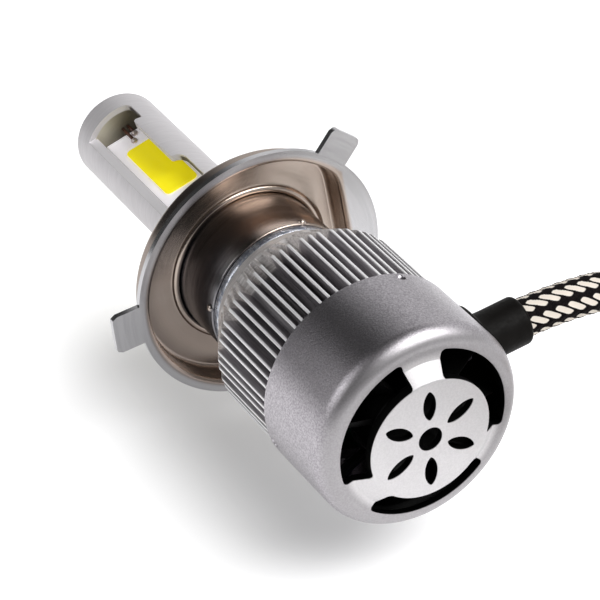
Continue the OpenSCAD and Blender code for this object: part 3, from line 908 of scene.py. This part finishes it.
def fan_housing():
    """Turned cup whose closed rear end carries the raised grille, with its slots, petals and dimples."""
    top = CUP_REAR - PLATE_UP
    inner_top, inner_back = top + CUP_WALL, CUP_REAR + CUP_WALL
    outer = rounded([(CUP_R - 0.3, CUP_FRONT, 0), (CUP_R, CUP_FRONT - 0.3, 0), (CUP_R, CUP_REAR, CUP_ROUND),
                     (BRIDGE_R, CUP_REAR, 0.5), (PLATE_R, top, 0.5), (HOLE_R, top, 0)], 10)
    inner = rounded([(HOLE_R, inner_top, 0), (PLATE_R - 0.4, inner_top, 0.3),
                     (BRIDGE_R - 0.4, inner_back, 0.3), (CUP_BORE, inner_back, CUP_ROUND - CUP_WALL),
                     (CUP_BORE, CUP_FRONT, 0)], 6)
    piece = revolved("fan_housing_shell", outer + inner, 256)
    cutters = [grille_cutter(slot_outline(first, last, PLATE_R, SLOT_R, 0.7)) for first, last in SLOTS]
    cutters += [grille_cutter(petal_outline(PETAL_AT + 360 / PETALS * i, PETAL_IN, PETAL_OUT, PETAL_W))
                for i in range(PETALS)]
    cutters += [ball_cutter(clock_point(CUP_R + 0.35, a, CUP_FRONT - 1.4), 0.9) for a in DIMPLES]
    cut(piece, cutters)
    add_bevel(piece, 0.12, 2, 40)
    finish_piece(piece, blasted_aluminium(), "lamp", "housing_blasted", "fan_housing")


fan_housing()


# ---------------------------------------------------------------- heatsink

def fin_section():
    """Clock angle and radius of the points round the heatsink's section."""
    points = []
    for group in range(FIN_GROUPS):
        for fin in (-1, 0, 1):
            middle = FIN_AT + group * 360 / FIN_GROUPS + fin * FIN_TURN
            for x, radius in ((-0.56, GROOVE_R), (-0.5, GROOVE_R + 0.12), (-0.36, FIN_R - 0.12),
                              (-0.3, FIN_R - 0.03), (-0.2, FIN_R), (0.2, FIN_R), (0.3, FIN_R - 0.03),
                              (0.36, FIN_R - 0.12), (0.5, GROOVE_R + 0.12), (0.56, GROOVE_R)):
                points.append((middle + math.degrees(x * FIN_T / radius), radius))
            gap = FIN_TURN if fin < 1 else 360 / FIN_GROUPS - 2 * FIN_TURN
            points += [(middle + gap * f, GROOVE_R) for f in (0.35, 0.5, 0.65)]
    return points


def heatsink():
    """Finned cylinder with a cone at the front, and a bore that widens at both ends."""
    section = fin_section()
    cone_end = SINK_FRONT - CONE_L
    meets = SINK_FRONT - CONE_L * (GROOVE_R - RING_R) / (FIN_R - RING_R)

    def widest(y):
        if y < CUP_FRONT:
            return CUP_BORE
        return RING_R + (FIN_R - RING_R) * min(1, max(0, (SINK_FRONT - y) / CONE_L))

    def plain(radius, y):
        return [(radius, y)] * len(section)

    depths = [SINK_FRONT - 0.1, SINK_FRONT - 0.7, SINK_FRONT - 1.6,
              meets + 0.3, meets, meets - 0.1, meets - 0.3, *np.linspace(meets - 0.8, cone_end + 0.2, 8),
              cone_end - 0.2, -20, -25, CUP_FRONT + 0.05, CUP_FRONT - 0.05, SINK_REAR + 0.1]
    rows = [plain(SPIGOT_R, SINK_FRONT), plain(RING_R - 0.15, SINK_FRONT)]
    rows += [[(min(radius, widest(y)), y) for _, radius in section] for y in depths]
    rows.append([(min(radius, CUP_BORE) - 0.1, SINK_REAR) for _, radius in section])
    rows += [plain(RING_R, SINK_REAR), plain(RING_R, RECESS_FRONT), plain(SINK_BORE, RECESS_FRONT),
             plain(SINK_BORE, SPIGOT_REAR), plain(SPIGOT_R, SPIGOT_REAR)]
    verts = [clock_point(radius, angle, y) for row in rows for (radius, y), (angle, _) in zip(row, section)]
    piece = new_mesh_object("heatsink_fins", verts, ring_faces(len(rows), len(section)))
    finish_piece(piece, fin_aluminium(), "lamp", "fin_aluminium", "heatsink", smooth=30)


heatsink()


# ---------------------------------------------------------------- collar

def dish_radius(clock):
    """Radius of the dish's wall at a clock angle: a circle with one flat side, blended at its corners."""
    toward = math.cos(math.radians(clock - DISH_FLAT_AT))
    flat = DISH_FLAT / max(toward, 0.1)
    sharp = 28
    return (DISH_R ** -sharp + flat ** -sharp) ** (-1 / sharp)


def collar_columns():
    """Clock angles round the collar, each with the lug it belongs to or None."""
    columns = []
    edges = []
    for lug in LUGS:
        middle, width = lug
        half = math.degrees(math.asin(width / 2 / FLANGE_R))
        edges.append((middle - half, middle + half))
        columns += [(middle - half, None), *((middle + half * s, lug) for s in np.linspace(-1, 1, 17)),
                    (middle + half, None)]
    edges.sort()
    for (_, start), (end, _) in zip(edges, edges[1:] + [(edges[0][0] + 360, 0)]):
        count = round((end - start) / 1.5)
        columns += [(start + (end - start) * k / count, None) for k in range(1, count)]
    return sorted(columns, key=lambda c: c[0])


def rim_point(clock, lug, y):
    """Point of the collar's outer edge, which is the end of the lug where there is one."""
    if not lug:
        return clock_point(FLANGE_R, clock, y)
    middle, width = lug
    corner = 0.9
    x = FLANGE_R * math.sin(math.radians(clock - middle))
    over = max(0, abs(x) - width / 2 + corner)
    reach = LUG_R - corner + math.sqrt(max(0, corner * corner - over * over))
    return clock_point(1, middle, 0) * reach + clock_point(1, middle + 90, 0) * x + Vector((0, y, 0)) * MM


def collar():
    """Pressed sheet: a sleeve with a rolled bead, the dish's floor and wall, the flange and its lugs."""
    columns = collar_columns()
    wide = SHEET_T - 0.1
    front = DISH_DEPTH + SHEET_T
    bead_r = 0.65
    bead = [(SLEEVE_R + bead_r - bead_r * math.cos(a), DISH_DEPTH - bead_r * math.sin(a))
            for a in np.linspace(0.15, 3.0, 12)]
    sleeve = rounded([(SLEEVE_R - 0.8, front, 0), (SLEEVE_R - 0.8, SLEEVE_REAR, 0.25),
                      (SLEEVE_R, SLEEVE_REAR, 0.25), (SLEEVE_R, DISH_DEPTH, 0)], 3)
    # The sheet's two faces across the dish's wall, as (distance out from the wall, y).
    rear = rounded([(-2.6, DISH_DEPTH, 0), (-0.1, DISH_DEPTH, 0.7), (0.15, 0, 0.9), (1.8, 0, 0)], 7)
    ahead = rounded([(1.9 + wide, SHEET_T, 0), (0.1 + wide, SHEET_T, 0.35), (wide - 0.15, front, 1.3),
                     (-2.6, front, 0)], 7)

    def circle(radius, y):
        return [clock_point(radius, clock, y) for clock, _ in columns]

    def dish(off, y, limit):
        return [clock_point(min(limit, dish_radius(clock) + off), clock, y) for clock, _ in columns]

    rows = [circle(radius, y) for radius, y in sleeve + bead + [(SLEEVE_R + 1.6, DISH_DEPTH)]]
    rows += [dish(off, y, LUG_R) for off, y in rear]
    rows.append(circle(FLANGE_R - 0.02, 0))
    rows += [[rim_point(clock, lug, y) for clock, lug in columns] for y in (0, SHEET_T)]
    rows.append(circle(FLANGE_R - 0.02, SHEET_T))
    rows += [dish(off, y, FLANGE_R - 0.03) for off, y in ahead]
    verts = [v for row in rows for v in row]
    piece = new_mesh_object("pressed_collar", verts, ring_faces(len(rows), len(columns)))
    work = bmesh.new()
    work.from_mesh(piece.data)
    bmesh.ops.remove_doubles(work, verts=work.verts, dist=0.002 * MM)
    bmesh.ops.dissolve_degenerate(work, edges=work.edges, dist=0.002 * MM)
    for clock, y in PIPS:
        add_ball(work, clock_point(SLEEVE_R - 0.2, clock, y), 0.7)
    bmesh.ops.recalc_face_normals(work, faces=work.faces)
    work.to_mesh(piece.data)
    work.free()
    piece.data.shade_smooth()
    add_bevel(piece, 0.2, 3, 50)
    finish_piece(piece, collar_steel(), "collar", "collar_steel", "flange_collar")


collar()


# ---------------------------------------------------------------- light post

def window_outline():
    """Opening over a light board, as (x, y) points: x to the right of the board's middle, y to the tip."""
    outside, wide, narrow, notch = -10, 3.05, 1, 2.7
    return rounded([(outside, WINDOW_REAR, 0), (wide, WINDOW_REAR, 0.5), (wide, WINDOW_STEP, 1.6),
                    (narrow, WINDOW_STEP, 0.4), (narrow, WINDOW_NOTCH, 0.7), (notch, WINDOW_NOTCH, 0.4),
                    (notch, WINDOW_END, 0.9), (outside, WINDOW_END, 0)], 8)


def board_side(points, flip):
    """Carries local points (right, to the tip, up) to the upper board's side, or the lower one's if flip."""
    right, up = clock_point(1, BOARD_AT + 90, 0), clock_point(1, BOARD_AT, 0)
    return [right * x + up * (-z if flip else z) + Vector((0, y, 0)) * MM for x, y, z in points]


def light_post():
    """Tube with a closed round tip and a stepped window on each side."""
    bore = POST_R - POST_WALL
    clear = 12
    profile = rounded([(0.4, POST_TIP, 0), (POST_R, POST_TIP, 1.5), (POST_R, POST_REAR, 0.2),
                       (bore, POST_REAR, 0.2), (bore, WINDOW_END, 0.2), (0.4, WINDOW_END, 0)], 10)
    piece = revolved("light_post", profile, 224, capped=True)
    cutters = []
    for flip in (False, True):
        floor_side, clear_side = (board_side([(x, y, z) for x, y in window_outline()], flip)
                                  for z in (WINDOW_FLOOR, clear))
        cutters.append(cutter_between(floor_side, clear_side))
    cut(piece, cutters)
    add_bevel(piece, 0.08, 2, 35)
    finish_piece(piece, post_aluminium(), "lamp", "post_aluminium", "lamp_tube")


light_post()


# ---------------------------------------------------------------- cable gland

def cable_gland():
    """Rubber gland: a boss with a rounded mouth on a lip that follows the housing."""
    # Each section is a circle: its radius, what its height is taken from, and that height.
    columns = 72
    sections = [
        (GLAND_LIP_R - 0.25, "skin", 0.0), (GLAND_LIP_R, "skin", 0.25),
        (GLAND_LIP_R, "skin", GLAND_LIP_T - 0.25), (GLAND_LIP_R - 0.25, "skin", GLAND_LIP_T),
        (GLAND_R + 0.7, "skin", GLAND_LIP_T), (GLAND_R + 0.25, "skin", GLAND_LIP_T + 0.2),
        (GLAND_R + 0.05, "skin", GLAND_LIP_T + 0.7)]
    sections += [(GLAND_R, "end", -5.5), (GLAND_R, "end", -3), (GLAND_R, "end", -1)]
    sections += [(GLAND_R - 0.7 + 0.7 * math.cos(a), "end", -0.7 + 0.7 * math.sin(a))
                 for a in np.linspace(0, math.pi / 2, 6)]
    sections += [(CORD_R + 0.12, "end", 0), (CORD_R + 0.02, "end", -0.12), (CORD_R + 0.02, "end", -3),
                 (0.5, "end", -3)]
    up = clock_point(1, GLAND_AT, 0)
    side = clock_point(1, GLAND_AT + 90, 0)
    verts = []
    for radius, kind, height in sections:
        for k in range(columns):
            a = 2 * math.pi * k / columns
            x, y = radius * math.cos(a), radius * math.sin(a)
            base = math.sqrt((CUP_R + 0.01) ** 2 - x * x) if kind == "skin" else GLAND_END
            verts.append(up * (base + height) + side * x + Vector((0, GLAND_Y + y, 0)) * MM)
    piece = new_mesh_object("gland_boss", verts, ring_faces(len(sections), columns, capped=True))
    rubber = moulded("gland_rubber", (0.004, 0.0034, 0.003), 0.5, 2.4, 0.04, specular=0.08)
    finish_piece(piece, rubber, "lamp", "gland_rubber", "cable_gland", smooth=50)


cable_gland()


# ---------------------------------------------------------------- CAD nodes that keep their shape

black = moulded("black_plastic", (0.012, 0.012, 0.013), 0.4)
dress("lamp_core", turned_aluminium("core_aluminium", (0.58, 0.57, 0.58)), 0.08)
mask = board_mask()
phosphor = phosphor_silicone()
for where in ("upper", "lower"):
    dress("board_" + where, mask, 0.06)
    dress("phosphor_" + where, phosphor, 0.16, 3)
dress("solder_joints", plain_metal("solder", (0.95, 0.84, 0.84), 0.34, metallic=0.5))
dress("board_wires", moulded("enamelled_wire", (0.12, 0.05, 0.03), 0.3))
dress("neck_hub", turned_aluminium("neck_aluminium", (0.5, 0.5, 0.52)), 0.1)
dress("neck_seal", moulded("seal_rubber", (0.02, 0.02, 0.02), 0.6))
dress("lock_ring", ring_aluminium(), 0.12)
dress("thermal_pad", moulded("pad_silicone", (0.35, 0.45, 0.6), 0.7))
dress("driver_card", moulded("card_green", (0.01, 0.09, 0.04), 0.35))
dress("driver_parts", black, 0.1)
dress("inner_leads", moulded("lead_insulation", (0.3, 0.02, 0.015), 0.4))
# Painted shade: the fan's frame and rotor are black plastic, made darker still to stand in for the shade
# inside the housing.
dress("fan_frame", moulded("fan_plastic", (0.002, 0.002, 0.002), 0.5, specular=0.06), 0.1)
dress("bearing_sleeve", plain_metal("bearing_brass", (0.65, 0.48, 0.22), 0.35))
dress("stator_core", plain_metal("stator_iron", (0.2, 0.2, 0.21), 0.4))
dress("stator_coils", plain_metal("coil_copper", (0.6, 0.28, 0.12), 0.35), 0.1)
dress("rotor", moulded("rotor_plastic", (0.002, 0.002, 0.002), 0.45, specular=0.06), 0.08)
dress("rotor_magnet", moulded("magnet", (0.04, 0.04, 0.04), 0.5))
dress("rotor_shaft", plain_metal("shaft_steel", (0.6, 0.6, 0.61), 0.2), 0.05)
dress("plug_body", moulded("plug_plastic", (0.016, 0.016, 0.017), 0.42), 0.6, 4)
dress("plug_blades", plain_metal("blade_metal", (0.75, 0.73, 0.68), 0.28), 0.12)
